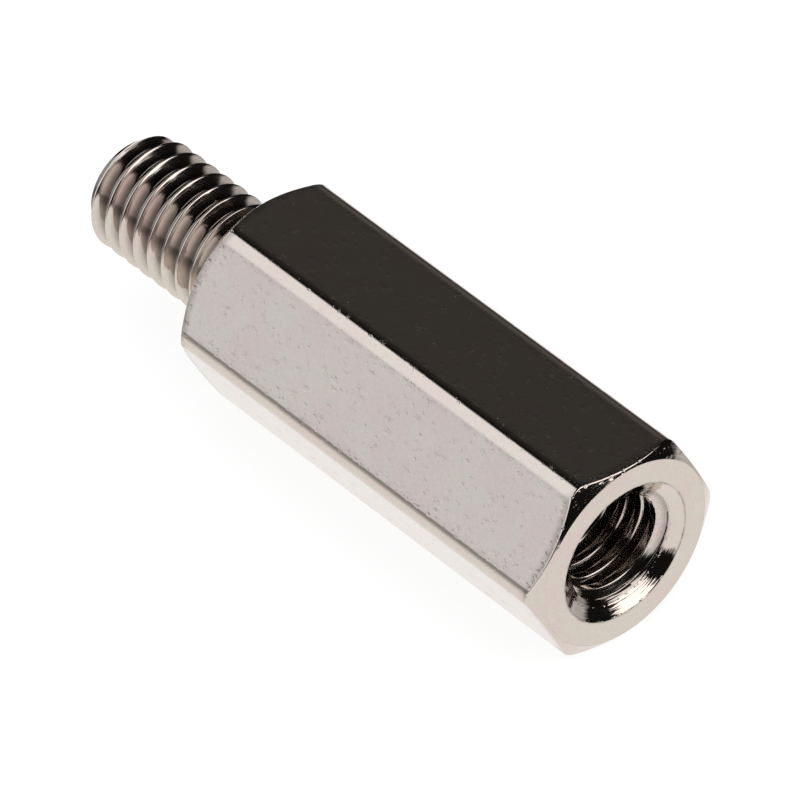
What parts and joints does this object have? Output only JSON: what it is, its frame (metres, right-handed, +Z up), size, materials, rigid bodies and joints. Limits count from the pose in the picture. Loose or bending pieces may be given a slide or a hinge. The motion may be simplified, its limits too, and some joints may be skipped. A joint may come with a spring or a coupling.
{
  "type": "hex standoff",
  "caption": "Male-female hexagonal standoff: a chamfered hex body with a coaxial threaded stud at one end and a countersunk blind tapped hole in the other.",
  "frame": {"origin": "under the middle of the overall length, on the plane of the lowest flat", "axes": "+X along the axis, from the stud towards the open tapped end; +Z up, square to the flat that it lies on; +Y across the corners"},
  "size_m": [0.0344, 0.0112, 0.01],
  "materials": {
    "nickel_plated_brass": "bright nickel plate over drawn and turned brass"
  },
  "bodies": {
    "root": {"standoff": "nickel_plated_brass"}
  },
  "joints": []
}
